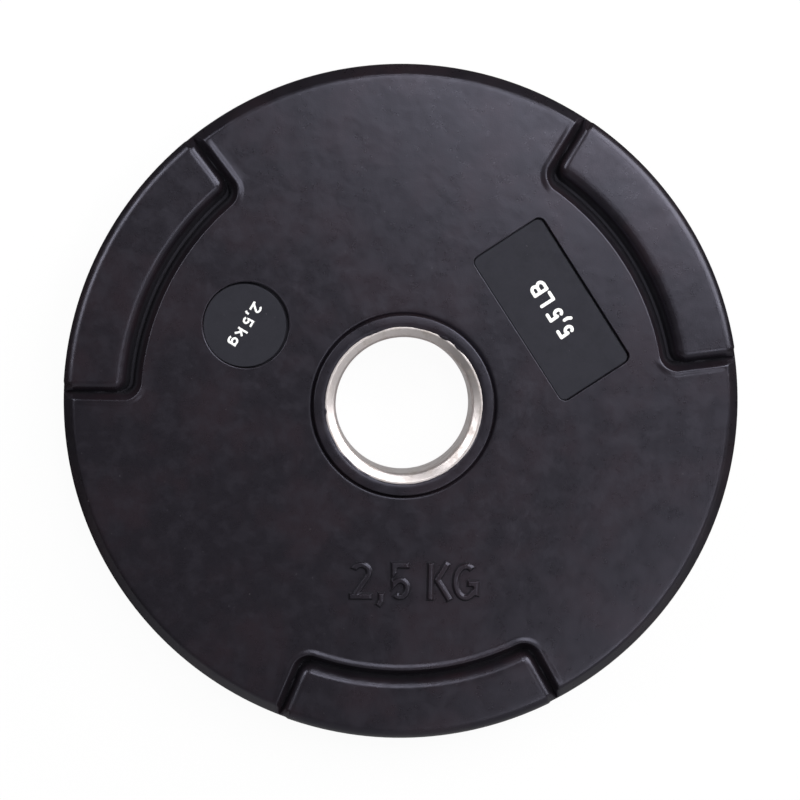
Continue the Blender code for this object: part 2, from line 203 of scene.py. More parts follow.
class MarkSettings(bpy.types.PropertyGroup):
    """Sizes and colours of the badges and numbers."""

    radius: length("Radius", "Distance of each mark's centre from the bore's axis", 65.2)
    twist: angle("Twist", "Turn of the round badge and the raised numbers about their centres", -4.0)
    label_length: length("Label length", "Length of the rectangular badge's seat", 63.1)
    label_width: length("Label width", "Width of the rectangular badge's seat", 30.6)
    label_corner: length("Label corner", "Corner radius of the rectangular badge's seat", 2.8)
    disc_radius: length("Disc radius", "Radius of the round badge's seat", 15.8)
    sink: length("Sink", "Depth of the badges under the field", 0.5)
    number_height: length("Number height", "Height of the raised capitals", 14.8)
    number_rise: length("Number rise", "Rise of the raised numbers over the field", 1.3)
    label_print_height: length("Label print height", "Height of the capitals on the rectangular badge", 6.4)
    disc_print_height: length("Disc print height", "Height of the capitals on the round badge", 4.05)
    shade: colour("Badge", "Colour of the badges", "101012")
    ink: colour("Ink", "Colour of the printed characters", "F4F4F2")


class StudioSettings(bpy.types.PropertyGroup):
    """Camera and light."""

    distance: length("Distance", "Distance of the camera from the plate", 650.0)
    tilt: angle("Tilt", "Angle between the camera's view and the bore's axis", 4.3)
    heading: angle("Heading", "Direction in the picture towards which the camera is moved", 122.4)
    roll: angle("Roll", "Turn of the plate in the picture", 3.0)
    overhead_power: power("Overhead power", "Power of the lamp over the plate", 4.3)
    key_power: power("Key power", "Power of the lamp at the right", 3.9)
    left_power: power("Left power", "Power of the strip lamp at the left", 6.4)
    far_power: power("Far power", "Power of the lamp beyond the plate", 1.6)
    front_power: power("Front power", "Power of the lamp at the lower right", 1.8)
    right_power: power("Right power", "Power of the low lamp at the right", 11.5)
    fill: FloatProperty(name="Fill", description="Strength of the light from the room", default=1.0, min=0.0)
    floor: colour("Floor", "Colour of the floor", "F2F2F2")


# Objects and meshes


def placed(name, data):
    """New object in the scene, at the origin."""
    made = bpy.data.objects.new(name, data)
    bpy.context.scene.collection.objects.link(made)
    return made


def smooth_mesh(name, points, faces):
    """Smooth-shaded mesh of an array of points and a list or array of faces."""
    mesh = bpy.data.meshes.new(name)
    mesh.from_pydata(points.reshape(-1, 3), [], faces)
    mesh.shade_smooth()
    return mesh


def grid_quads(index):
    """Faces between the rows and columns of a grid of point numbers."""
    corners = [index[:-1, :-1], index[:-1, 1:], index[1:, 1:], index[1:, :-1]]
    return np.stack(corners, axis=-1).reshape(-1, 4)


def outward(mesh):
    """Turn the mesh's faces outwards, going by the sign of the volume that they enclose."""
    corners = np.empty(len(mesh.vertices) * 3)
    mesh.vertices.foreach_get("co", corners)
    mesh.calc_loop_triangles()
    triangles = np.empty(len(mesh.loop_triangles) * 3, int)
    mesh.loop_triangles.foreach_get("vertices", triangles)
    a, b, c = corners.reshape(-1, 3)[triangles.reshape(-1, 3)].transpose(1, 0, 2)
    if np.einsum("ij,ij->", a, np.cross(b, c)) < 0:
        mesh.flip_normals()
    return mesh


def grid_mesh(name, points):
    """Closed mesh over a grid of points shaped (rows, columns, 3) whose rows and columns run round."""
    index = np.arange(points.shape[0] * points.shape[1]).reshape(points.shape[:2])
    return outward(smooth_mesh(name, points, grid_quads(np.pad(index, (0, 1), "wrap"))))


def capped_mesh(name, rings):
    """Closed mesh of rings of points, with one flat face over the first ring and one over the last."""
    index = np.arange(rings.shape[0] * rings.shape[1]).reshape(rings.shape[:2])
    sides = grid_quads(np.hstack([index, index[:, :1]]))
    mesh = smooth_mesh(name, rings, sides.tolist() + [index[0, ::-1].tolist(), index[-1].tolist()])
    mesh.set_sharp_from_angle(angle=math.radians(50.0))
    return outward(mesh)


def turned_grid(radius, level, angles):
    """Grid of points turned round the bore: x = r cos(a), y = r sin(a), z = level over the middle."""
    radius = np.broadcast_to(radius, np.broadcast_shapes(radius.shape, angles.shape))
    height = np.broadcast_to(level + PLATE_MIDDLE, radius.shape)
    return np.stack([radius * np.cos(angles), radius * np.sin(angles), height], axis=-1)


def swept_grid(outline, normals, profile):
    """Grid of a closed profile of (offset, height) carried round an outline: point + offset * normal."""
    flat = outline[None] + profile[:, :1, None] * normals[None]
    return np.dstack([flat, np.broadcast_to(profile[:, 1:], flat.shape[:2])])


def rounded_profile(corners, roundings, steps=5):
    """Closed profile through corner points, each replaced by an arc-like curve that starts a rounding away.

    Each curve is a quadratic Bezier: (1-t)^2 before + 2t(1-t) corner + t^2 after.
    """
    corners = np.asarray(corners, float)
    towards_last = np.roll(corners, 1, axis=0) - corners
    towards_next = np.roll(corners, -1, axis=0) - corners
    roundings = np.asarray(roundings, float)[:, None]
    before = corners + towards_last / np.linalg.norm(towards_last, axis=1, keepdims=True) * roundings
    after = corners + towards_next / np.linalg.norm(towards_next, axis=1, keepdims=True) * roundings
    t = np.linspace(0.0, 1.0, steps)[None, :, None]
    curve = (1 - t) ** 2 * before[:, None] + 2 * t * (1 - t) * corners[:, None] + t**2 * after[:, None]
    return curve.reshape(-1, 2)


def add_piece(name, mesh, material, replaced=()):
    """Put a finished mesh into the scene as a piece of the plate that stands for some CAD nodes."""
    piece = placed(name, mesh)
    mesh.materials.clear()
    mesh.materials.append(material)
    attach(piece, BODY)
    if replaced:
        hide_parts(*replaced)


def without(mesh, cutter_mesh):
    """Mesh with the cutter's space taken out of it by an exact Boolean."""
    target, cutter = placed(f"{mesh.name}_uncut", mesh), placed(cutter_mesh.name, cutter_mesh)
    cut = target.modifiers.new("seat", "BOOLEAN")
    cut.object = cutter
    cut.operation = "DIFFERENCE"
    cut.solver = "EXACT"
    result = bpy.data.meshes.new_from_object(target.evaluated_get(bpy.context.evaluated_depsgraph_get()))
    for carrier in (target, cutter):
        bpy.data.objects.remove(carrier)
    return result


# Materials


def add_node(tree, kind, inputs=(), **settings):
    """Add a node, set its properties, and give its sockets values or links.

    The inputs are a dict by name, or values in the order of the live sockets. A node given as a value
    stands for its first live output.
    """
    node = tree.nodes.new(f"ShaderNode{kind}")
    for name, value in settings.items():
        setattr(node, name, value)
    if isinstance(inputs, dict):
        pairs = [(node.inputs[name], value) for name, value in inputs.items()]
    else:
        pairs = zip([socket for socket in node.inputs if socket.enabled], inputs)
    for socket, value in pairs:
        if isinstance(value, bpy.types.Node):
            value = next(output for output in value.outputs if output.enabled)
        if isinstance(value, bpy.types.NodeSocket):
            tree.links.new(value, socket)
        else:
            socket.default_value = value
    return node


def new_material(name):
    """Empty node material, a function that adds nodes to it, and the place of a point on the plate."""
    material = bpy.data.materials.new(name)
    material.use_nodes = True
    material.node_tree.nodes.clear()
    add = partial(add_node, material.node_tree)
    return material, add, add("TexCoord").outputs["Object"]


def finish_material(add, surface):
    """Give a material a surface of given properties and its output."""
    add("OutputMaterial", {"Surface": add("BsdfPrincipled", surface)})


def patches(add, place, size, limits, shares=(0.0, 1.0), detail=2.0, roughness=0.5):
    """Patches about a given size across: noise, eased from one share to another between two limits."""
    lumps = {"Vector": place, "Scale": 1.0 / size, "Detail": detail, "Roughness": roughness}
    return add("MapRange", (add("TexNoise", lumps), *limits, *shares), **EASED)


def relief(add, place, size, detail, roughness, strength, depth, **under):
    """Normal of a surface with lumps about a given size across, on the normal given for under them."""
    lumps = {"Vector": place, "Scale": 1.0 / size, "Detail": detail, "Roughness": roughness}
    height = add("TexNoise", lumps)
    return add("Bump", {"Strength": strength, "Distance": depth, "Height": height, **under})


def coated(add, ground, *coats):
    """Colour of a ground under coats of (share, colour), each laid over the last."""
    for share, coat in coats:
        ground = add("Mix", (share, ground, coat), data_type="RGBA")
    return ground


def bore_distance(add, place):
    """Distance of a place from the bore's axis: the length of (x, y, 0)."""
    flat = add("VectorMath", (place, (1.0, 1.0, 0.0)), operation="MULTIPLY")
    return add("VectorMath", (flat,), operation="LENGTH")


def groove_shade_share(add, place):
    """Share of painted shade by how deep in a groove a place lies: 0 down to 2 mm under the field, and 1 from
    4.5 mm, fading out between 4.5 and 2.5 mm inside the rim.
    """
    height = add("SeparateXYZ", (place,)).outputs["Z"]
    level = add("Math", (height, PLATE_MIDDLE), operation="SUBTRACT")
    level = add("Math", (level,), operation="ABSOLUTE")
    radius = bore_distance(add, place)
    sunk = (level, FIELD_LEVEL - 4.5 * MM, FIELD_LEVEL - 2.0 * MM, 1.0, 0.0)
    within = (radius, PLATE_RADIUS - 4.5 * MM, PLATE_RADIUS - 2.5 * MM, 1.0, 0.0)
    shares = [add("MapRange", limits, **EASED) for limits in (sunk, within)]
    return add("Math", shares, operation="MULTIPLY")


def foot_shade_share(add, place, height):
    """Share of painted shade by how near the foot of a raised character a place lies: 1 on the field, and 0
    at the height.
    """
    over_floor = add("SeparateXYZ", (place,)).outputs["Z"]
    field = PLATE_MIDDLE + FIELD_LEVEL
    return add("MapRange", (over_floor, field + 0.75 * height, field + height, 1.0, 0.0), **EASED)


def urethane_material(name, shade, bloom, gloss=0.27, foot=0.0):
    """Cast urethane rubber, demoulded and wiped: near black with a soft sheen and a fine, dull grain.

    The mould leaves a grain about 0.6 mm across. Bloom and handling leave cloudy patches 26 mm across,
    and dust leaves pale specks. Grooves and other places deep under the field, or the feet of raised
    characters, are painted darker as painted shade, and are duller.
    """
    material, add, place = new_material(name)
    cloud = patches(add, place, 26 * MM, (0.42, 0.66), detail=3.0, roughness=0.6)
    streak = patches(add, place, 7 * MM, (0.35, 0.75), detail=3.0, roughness=0.6)
    speck = patches(add, place, 1.5 * MM, (0.775, 0.82), detail=1.0)
    fleck = patches(add, place, 1.3 * MM, (0.3, 0.7), (0.0, 0.03))
    # share of painted shade: deep in the grooves and seats, or at the feet of raised characters
    sunk = foot_shade_share(add, place, foot) if foot else groove_shade_share(add, place)
    pale = (*(channel * 1.3 for channel in tuple(shade)[:3]), 1.0)
    base = coated(
        add,
        shade,
        (cloud, bloom),
        (add("MapRange", (streak, 0.0, 1.0, 0.0, 0.5), **EASED), pale),
        (add("MapRange", (speck, 0.0, 1.0, 0.0, 0.15), **EASED), linear("77747A")),
        # painted shade: near-black laid over the grooves, deep places and the feet of raised characters,
        # where shade falls
        (add("Math", (sunk, 0.8), operation="MULTIPLY"), linear("0B090A")),
    )
    rubbed = add("MapRange", (streak, 0.0, 1.0, gloss, gloss + 0.07), **EASED)
    worn = add("Math", (fleck, rubbed), operation="ADD")
    dull = add("Math", (sunk, 0.4), operation="MULTIPLY")
    grain = relief(add, place, 0.6 * MM, 2.0, 0.7, 0.4, 0.05 * MM)
    surface = {
        "Base Color": base,
        "Roughness": add("Math", (worn, dull), operation="ADD", use_clamp=True),
        "IOR": 1.5,
        "Specular Tint": linear("E4E4FC"),
        "Normal": relief(add, place, 9 * MM, 2.0, 0.5, 0.5, 0.25 * MM, Normal=grain),
    }
    finish_material(add, surface)
    return material


def turned_steel_material(shade):
    """Lathe-turned mild steel, oiled: warm grey with fine feed marks that run round the bore.

    The marks are 0.25 mm across, and are drawn on (radius, height, angle) so that they follow the tool.
    """
    material, add, place = new_material("turned_mild_steel")
    parts = add("SeparateXYZ", (place,)).outputs
    around = add("Math", (parts["Y"], parts["X"]), operation="ARCTAN2")
    along = add("Math", (around, 1.5 * MM), operation="MULTIPLY")
    lathe = add("CombineXYZ", (bore_distance(add, place), parts["Z"], along))
    stain = patches(add, place, 5 * MM, (0.4, 0.75), detail=3.0, roughness=0.6)
    wear = add("MapRange", (stain, 0.0, 1.0, 0.0, 0.5), **EASED)
    surface = {
        "Base Color": coated(add, shade, (wear, linear("A59B93"))),
        "Metallic": 1.0,
        "Roughness": add("MapRange", (stain, 0.0, 1.0, 0.4, 0.52), **EASED),
        "Normal": relief(add, lathe, 0.25 * MM, 2.0, 0.6, 0.4, 0.05 * MM),
    }
    finish_material(add, surface)
    return material


def cast_iron_material():
    """Sand-cast grey iron, unpainted: dark, rough and grainy at about 0.8 mm."""
    material, add, place = new_material("sand_cast_grey_iron")
    rust = patches(add, place, 12 * MM, (0.5, 0.7), detail=4.0)
    surface = {
        "Base Color": coated(add, linear("3A3A3C"), (rust, linear("4B3D35"))),
        "Metallic": 0.8,
        "Roughness": 0.7,
        "Normal": relief(add, place, 0.8 * MM, 4.0, 0.7, 0.6, 0.2 * MM),
    }
    finish_material(add, surface)
    return material


def pad_print_material(ink):
    """Pad-printed white ink: flat and opaque, thinner in places at about 0.6 mm."""
    material, add, place = new_material("pad_printed_ink")
    thin = patches(add, place, 0.6 * MM, (0.55, 0.8), (0.0, 0.25))
    surface = {"Base Color": coated(add, ink, (thin, linear("B9B9BB"))), "Roughness": 0.5, "IOR": 1.45}
    finish_material(add, surface)
    return material


# Casing


def rounded_corner(first, second, corner):
    """Distance inside two edges that meet in a rounded corner, from the distances inside each of them."""
    near = corner - np.hypot(np.minimum(first - corner, 0.0), np.minimum(second - corner, 0.0))
    return np.where(np.minimum(first, second) < corner, near, np.minimum(first, second))


def eased(share):
    """Smooth step s^2 (3 - 2s) of a share that is held between 0 and 1."""
    share = np.clip(share, 0.0, 1.0)
    return share * share * (3 - 2 * share)


def rounded_wall(distance, rounding, steepest):
    """Depth of a wall a distance in from its edge.

    It turns down on an arc, r - sqrt(r^2 - distance^2), as far as its steepest angle, and goes on
    straight from there.
    """
    turned = np.clip(distance, 0.0, rounding * math.sin(steepest))
    arc = rounding - np.sqrt(rounding**2 - turned**2)
    return arc + np.maximum(distance - rounding * math.sin(steepest), 0.0) * math.tan(steepest)


def groove_depth(radius, angles, sizes):
    """Depth of the grip grooves under the field, how far inside a pad a point lies, and the lip's height.

    One rounded wall goes down from the groove's outside edge, another from a little inside its pad's
    edge, and the depth is the least of both and of the full depth. The lip is the field's low swell round
    a groove: it goes up as s^2 (3 - 2s) to the groove's edge, and back down inside it and near the rim.
    It goes all round the lowest grip, and past the ends of the others.
    """
    depth = np.zeros(np.broadcast(radius, angles).shape)
    inside_pad = np.full(depth.shape, -1.0)
    lip = np.zeros(depth.shape)
    for azimuth, swollen in zip(GRIP_AZIMUTHS, LONG_SWELLS):
        turn = np.abs((angles - azimuth + np.pi) % (2 * np.pi) - np.pi)
        from_edge = radius - sizes.groove_radius
        from_end = radius * np.sin(np.clip(sizes.half_angle - turn, -1.0, 1.0))
        in_groove = rounded_corner(from_edge - swollen * sizes.lip_inset, from_end, sizes.field_corner)
        in_pad = rounded_corner(from_edge - sizes.groove_width, from_end - sizes.end_width, sizes.pad_corner)
        field_wall = rounded_wall(in_groove, sizes.field_rounding, sizes.field_steepest)
        pad_wall = rounded_wall(sizes.pad_overlap - in_pad, sizes.pad_rounding, sizes.pad_steepest)
        depth = np.maximum(depth, np.minimum(np.minimum(field_wall, pad_wall), sizes.groove_depth))
        inside_pad = np.maximum(inside_pad, in_pad)
        swell = eased(in_groove / sizes.lip_width + 1.1) * (1 - eased(in_groove / sizes.lip_width - 0.5))
        at_end = 1 - eased((from_end - 1 * MM) / (5 * MM))
        lip = np.maximum(lip, sizes.lip_height * swell * np.maximum(swollen, at_end))
    near_rim = eased((radius - PLATE_RADIUS + 8.5 * MM) / (4 * MM))
    return depth, inside_pad, lip * (1 - near_rim)


def casing_angles(sizes):
    """Angles of the casing's columns: 1.6 degrees apart, and 0.18 at the ends of the grooves."""
    coarse = np.arange(0.0, 360.0, 1.6)
    ends = [
        math.degrees(azimuth) + side * (math.degrees(sizes.half_angle) - np.arange(-1.2, 5.6, 0.18))
        for azimuth in GRIP_AZIMUTHS
        for side in (-1, 1)
    ]
    fine = np.concatenate(ends) % 360
    gap = np.abs((coarse[:, None] - fine[None, :] + 180) % 360 - 180).min(axis=1)
    return np.radians(np.sort(np.concatenate([coarse[gap > 0.5], fine])))


def ring_and_field(sizes, groove_step):
    """Profile of (radius, level) from the casing's inside wall over the hub ring and out across the field."""
    field = HUB_LEVEL - sizes.hub_rise
    inner, ring = BUSHING_RADIUS + 0.1 * MM, sizes.ring_radius
    groove, pad = sizes.groove_radius, sizes.groove_radius + sizes.groove_width
    across = np.concatenate(
        [
            np.linspace(ring + 2.5 * MM, groove - 5 * MM, 9),
            np.arange(groove - 3.4 * MM, pad + 1.6 * MM, groove_step),
            np.linspace(pad + 3 * MM, PLATE_RADIUS - sizes.field_edge - 1.5 * MM, 6),
        ]
    )
    return np.vstack(
        [
            (inner, 0.0),
            (inner, HUB_LEVEL) + RING_TOP * (MM, -MM),
            (ring, HUB_LEVEL) + RING_SHOULDER * (MM, -MM),
            (ring, field) + RING_FOOT * MM,
            np.column_stack([across, np.full(len(across), field)]),
        ]
    )


def rim_edge(angles, sizes):
    """Radius and level of the edge between the field and the rim, and of the rim down to the middle.

    On a pad's edge radius = wall - e (1 - sin p) and level = field - e (1 - cos p), with p from 0 to 90
    degrees and e the rounding. Between the pads the edge is a 45 degree bevel between two such arcs, of
    0 to 45 and 45 to 90 degrees. A pad's share in it goes from 0 to 1 over its outermost millimetre.
    """
    field, wall = HUB_LEVEL - sizes.hub_rise, PLATE_RADIUS - sizes.rim_draft
    inside_pad = groove_depth(np.full(len(angles), wall - sizes.pad_edge), angles, sizes)[1]
    share = eased(inside_pad / MM)
    sweep = np.linspace(0.0, np.pi / 2, 13)[:, None]
    top, low = np.radians(np.linspace(0, 45, 6))[:, None], np.radians(np.linspace(45, 90, 7))[:, None]
    top_in = sizes.field_edge - sizes.bevel_top * np.sin(top)
    low_in = sizes.bevel_low * (1 - np.sin(low))
    top_down = sizes.bevel_top * (1 - np.cos(top))
    low_down = top_down[-1] + top_in[-1] - low_in[0] + sizes.bevel_low * (np.cos(low[0]) - np.cos(low))
    bevel_in, bevel_down = np.vstack([top_in, low_in]), np.vstack([top_down, low_down])
    round_in, round_down = sizes.pad_edge * (1 - np.sin(sweep)), sizes.pad_edge * (1 - np.cos(sweep))
    radius = wall - bevel_in - (round_in - bevel_in) * share
    level = field - bevel_down - (round_down - bevel_down) * share
    fall = np.linspace(1.0, 0.0, 4)[1:, None]
    rim_level = level[-1] * fall
    rim_radius = np.broadcast_to(PLATE_RADIUS - sizes.rim_draft * fall, rim_level.shape)
    return np.vstack([radius, rim_radius]), np.vstack([level, rim_level])


def casing_half(angles, sizes, groove_step):
    """Grid of radius and level from the casing's inside wall to its rim, for one face.

    Rows run up the inside wall, over the ring, across the field and down the edge. Outside the ring, the
    grooves' depth is taken off the level of the field, and the lip is added.
    """
    profile = ring_and_field(sizes, groove_step)
    edge_radius, edge_level = rim_edge(angles, sizes)
    radius = np.vstack([np.repeat(profile[:, :1], len(angles), axis=1), edge_radius])
    level = np.vstack([np.repeat(profile[:, 1:], len(angles), axis=1), edge_level])
    depth, _, lip = groove_depth(radius, angles[None, :], sizes)
    grooved = np.minimum(level, HUB_LEVEL - sizes.hub_rise - depth) + lip
    return radius, np.where(radius > sizes.ring_radius + 2 * MM, grooved, level)


def casing_mesh(sizes):
    """Closed surface of the casing: its front half, then its back half mirrored in the middle plane."""
    angles = casing_angles(sizes)
    front_radius, front_level = casing_half(angles, sizes, 0.24 * MM)
    back_radius, back_level = casing_half(angles, sizes, 0.4 * MM)
    radius = np.vstack([front_radius, back_radius[-2:0:-1]])
    level = np.vstack([front_level, -back_level[-2:0:-1]])
    return grid_mesh("moulded_casing", turned_grid(radius, level, angles))


def flash_mesh():
    """Thin irregular skin of casing that has crept over the bushing's lip while it was cast.

    Its inner radius is the bushing's less a sum of bumps, size * exp(-(turn / width)^2), and small waves.
    """
    angles = np.linspace(0.0, 2 * np.pi, 720, endpoint=False)
    reach = np.full(angles.shape, 0.12 * MM)
    for degrees, width, size in FLASH_BUMPS:
        turn = (np.degrees(angles) - degrees + 180) % 360 - 180
        reach += size * MM * np.exp(-((turn / width) ** 2))
    ripple = np.sin(23 * angles + 1.0) * np.sin(7 * angles)
    ripple += 0.6 * np.sin(71 * angles) * np.sin(3 * angles + 2)
    reach = np.maximum(reach + 0.06 * MM * ripple, 0.02 * MM)
    outer, inner = BUSHING_RADIUS + 0.6 * MM, BUSHING_RADIUS - reach
    top, low = HUB_LEVEL - 0.04 * MM, BUSHING_LEVEL + 0.02 * MM
    rows = (
        (outer, low - 0.3 * MM),
        (outer, top),
        (BUSHING_RADIUS + 0.1 * MM, top - 0.02 * MM),
        (inner + 0.2 * MM, low + 0.16 * MM),
        (inner + 0.06 * MM, low + 0.12 * MM),
        (inner, low + 0.04 * MM),
        (inner + 0.03 * MM, low - 0.02 * MM),
        (BUSHING_RADIUS - 0.05 * MM, low - 0.05 * MM),
    )
    radius = np.stack([np.broadcast_to(radius, angles.shape) for radius, _ in rows])
    level = np.array([[level] for _, level in rows])
    return grid_mesh("bore_flash", turned_grid(radius, level, angles))


# Marks


def mark_place(azimuth, marks, twist=0.0):
    """Place of a mark on the field, turned so that its top points at the bore."""
    centre = Vector((marks.radius * math.cos(azimuth), marks.radius * math.sin(azimuth), PLATE_MIDDLE))
    return Matrix.Translation(centre) @ Matrix.Rotation(azimuth + math.pi / 2 + twist, 4, "Z")


def rounded_outline(length, width, corner, corner_steps=12, side_steps=24):
    """Points and outward normals of a rectangle with round corners, its long side along X."""
    turns = np.linspace(0.0, np.pi / 2, corner_steps) + np.arange(4)[:, None] * np.pi / 2
    normals = np.stack([np.cos(turns), np.sin(turns)], axis=-1)
    centres = np.array([(1, 1), (-1, 1), (-1, -1), (1, -1)]) * (length / 2 - corner, width / 2 - corner)
    points = centres[:, None] + corner * normals
    last, following = points[:, -1:], np.roll(points, -1, axis=0)[:, :1]
    sides = last + np.linspace(0.0, 1.0, side_steps + 2)[1:-1, None] * (following - last)
    side_normals = np.repeat(normals[:, -1:], side_steps, axis=1)
    return np.hstack([points, sides]).reshape(-1, 2), np.hstack([normals, side_normals]).reshape(-1, 2)


def circle_outline(radius, steps=144):
    """Points and outward normals of a circle."""
    angles = np.linspace(0.0, 2 * np.pi, steps, endpoint=False)
    normals = np.column_stack([np.cos(angles), np.sin(angles)])
    return radius * normals, normals


def seats(marks):
    """Name, outline with normals, place and lip of each badge seat, and the gap and shift of its badge."""
    label = rounded_outline(marks.label_length, marks.label_width, marks.label_corner)
    disc = circle_outline(marks.disc_radius)
    label_place = mark_place(LABEL_AZIMUTH, marks)
    disc_place = mark_place(ROUND_AZIMUTH, marks, marks.twist)
    return (
        ("label_seat", label, label_place, 0.5 * MM, 0.48 * MM, Vector((-0.31, -0.18, 0.0)) * MM),
        ("round_seat", disc, disc_place, 0.8 * MM, 0.58 * MM, Vector((-0.48, -0.18, 0.0)) * MM),
    )


def seat_meshes(name, outline, normals, field, lip):
    """Cutter that opens a badge's seat in the casing, and the rounded border that lines it."""
    pocket = np.array([(lip, field + 1 * MM), (lip, field - 3.2 * MM)])
    # the seat's floor lies 3 mm under the field, where the casing's material lays painted shade over it in
    # part
    floor = field - 3.0 * MM
    edge = rounded_profile(
        [(lip, field), (0.0, field), (0.0, floor), (lip, floor)],
        [0.02 * MM, 0.6 * lip, 0.1 * MM, 0.1 * MM],
    )
    cutter = capped_mesh(f"{name}_cutter", swept_grid(outline, normals, pocket))
    return cutter, grid_mesh(f"{name}_edge", swept_grid(outline, normals, edge))


def badge_mesh(name, outline, normals, level, gap, nicks):
    """Badge with a level face and rounded edges that leaves a gap to its seat, with small raised nicks.

    A nick adds height * exp(-(distance / size)^2) to the border.
    """
    profile = np.column_stack([-gap - BADGE_EDGE[:, 1] * MM, level - BADGE_EDGE[:, 0] * MM])
    points = swept_grid(outline, normals, profile)
    for (x, y), size, rise in nicks:
        distance = np.hypot(points[..., 0] - x, points[..., 1] - y)
        top = points[..., 2] > level - 0.2 * MM
        points[..., 2] += np.where(top, rise * np.exp(-((distance / size) ** 2)), 0.0)
    return capped_mesh(name, points)


def bow(centre_x, centre_y, radius_x, radius_y, start, end):
    """Points of an elliptic arc between two angles in degrees."""
    turns = np.radians(np.linspace(start, end, 25))
    return list(zip(centre_x + radius_x * np.cos(turns), centre_y + radius_y * np.sin(turns)))


def character_strokes(character):
    """Centre lines of a character's strokes, for a capital height of 1."""
    half, top = STROKE / 2, 1 - STROKE / 2
    stem = [(half, 0.0), (half, 1.0)]
    two = (0.58 - STROKE) / 2
    five, belly = (0.54 - STROKE) / 2, (0.62 - STROKE) / 2
    upper, lower = (top - half) * 0.23, (top - half) * 0.27
    waist = (half, half + (top - half) * 0.54)
    side = (0.68 - STROKE) / 2
    return {
        "2": [bow(0.29, top - two, two, two, 165, -38) + [(half + 0.03, half)], [(0.0, half), (0.58, half)]],
        ",": [[(half + 0.09, STROKE + 0.02), (half + 0.09, 0.0), (half, -0.16)]],
        "5": [
            [(0.5, top), (half + 0.02, top)] + bow(0.54 - half - five, half + belly, five, belly, 140, -140)
        ],
        "K": [
            stem,
            [(0.66 - STROKE * 0.75, 1.0), (STROKE * 1.1, 0.47)],
            [(STROKE * 1.25, 0.56), (0.70 - STROKE * 0.62, 0.0)],
        ],
        "k": [
            stem,
            [(0.60 - STROKE * 0.7, 0.70), (half, 0.24)],
            [(STROKE * 1.25, 0.42), (0.64 - STROKE * 0.62, 0.0)],
        ],
        "G": [
            bow(half + side, 0.5, side, 0.5 - half, 48, 318)
            + [(0.68 - half, 0.22), (0.68 - half, 0.46), (0.36, 0.46)]
        ],
        "g": [
            bow(0.30, 0.36, 0.30 - half, 0.34 - half, 0, 352),
            [(0.60 - half, 0.68)] + bow(0.30, 0.0, 0.30 - half, 0.28 - half, 0, -140),
        ],
        "L": [[(half, 1.0 - half), (half, half), (0.52, half)]],
        "B": [
            [(half, half), (half, top)] + bow(0.36, top - upper, 0.20, upper, 90, -90),
            [waist] + bow(0.36, half + lower, 0.25, lower, 90, -90) + [(half, half)],
        ],
    }[character]


def stroke_outline(path, width):
    """Closed outline of a stroke: its centre line moved half a width to both sides, with mitred corners."""
    runs = np.diff(path, axis=0)
    runs /= np.linalg.norm(runs, axis=1, keepdims=True)
    normals = np.column_stack([-runs[:, 1], runs[:, 0]])
    before, after = np.vstack([normals[:1], normals]), np.vstack([normals, normals[-1:]])
    shift = (before + after) / (1 + np.einsum("ij,ij->i", before, after))[:, None] * width / 2
    return np.vstack([path + shift, (path - shift)[::-1]])


def path_distance(points, path):
    """Distance of each point from the nearest place on a path's straight runs."""
    best = np.full(len(points), np.inf)
    for a, b in zip(path[:-1], path[1:]):
        run = b - a
        share = np.clip((points - a) @ run / max(run @ run, 1e-18), 0.0, 1.0)
        best = np.minimum(best, np.hypot(*(points - a - share[:, None] * run).T))
    return best


def inside_distance(points, outline):
    """Distance of each point inside a closed outline, negative outside it.

    A point is inside if a line from it towards +X crosses the outline an odd number of times.
    """
    path = np.vstack([outline, outline[:1]])
    inside = np.zeros(len(points), bool)
    for a, b in zip(path[:-1], path[1:]):
        crosses = (a[1] > points[:, 1]) != (b[1] > points[:, 1])
        at = a[0] + (points[:, 1] - a[1]) * (b - a)[0] / ((b - a)[1] or 1e-18)
        inside ^= crosses & (points[:, 0] < at)
    distance = path_distance(points, path)
    return np.where(inside, distance, -distance)


def stroke_depth(points, path, width, round_ends):
    """Distance of each point inside a stroke, negative outside it."""
    if round_ends:
        return width / 2 - path_distance(points, path)
    return inside_distance(points, stroke_outline(path, width))


def written_strokes(characters, tall, stretch, gap, kerns):
    """Strokes of all characters side by side, about the middle of the writing, and half its length."""
    strokes, pen = [], 0.0
    for number, character in enumerate(characters):
        if character == " ":
            pen += SPACE * tall
            continue
        paths = [np.array(path) * (stretch, 1.0) * tall for path in character_strokes(character)]
        strokes += [path + (pen, 0.0) for path in paths]
        side = 0.0 if character in NARROW else STROKE * tall / 2
        right = max(path[:, 0].max() for path in paths) + side
        pen += right + kerns.get(characters[number : number + 2], gap) * tall
    half = (pen - gap * tall) / 2
    return [path - (half, tall / 2) for path in strokes], half


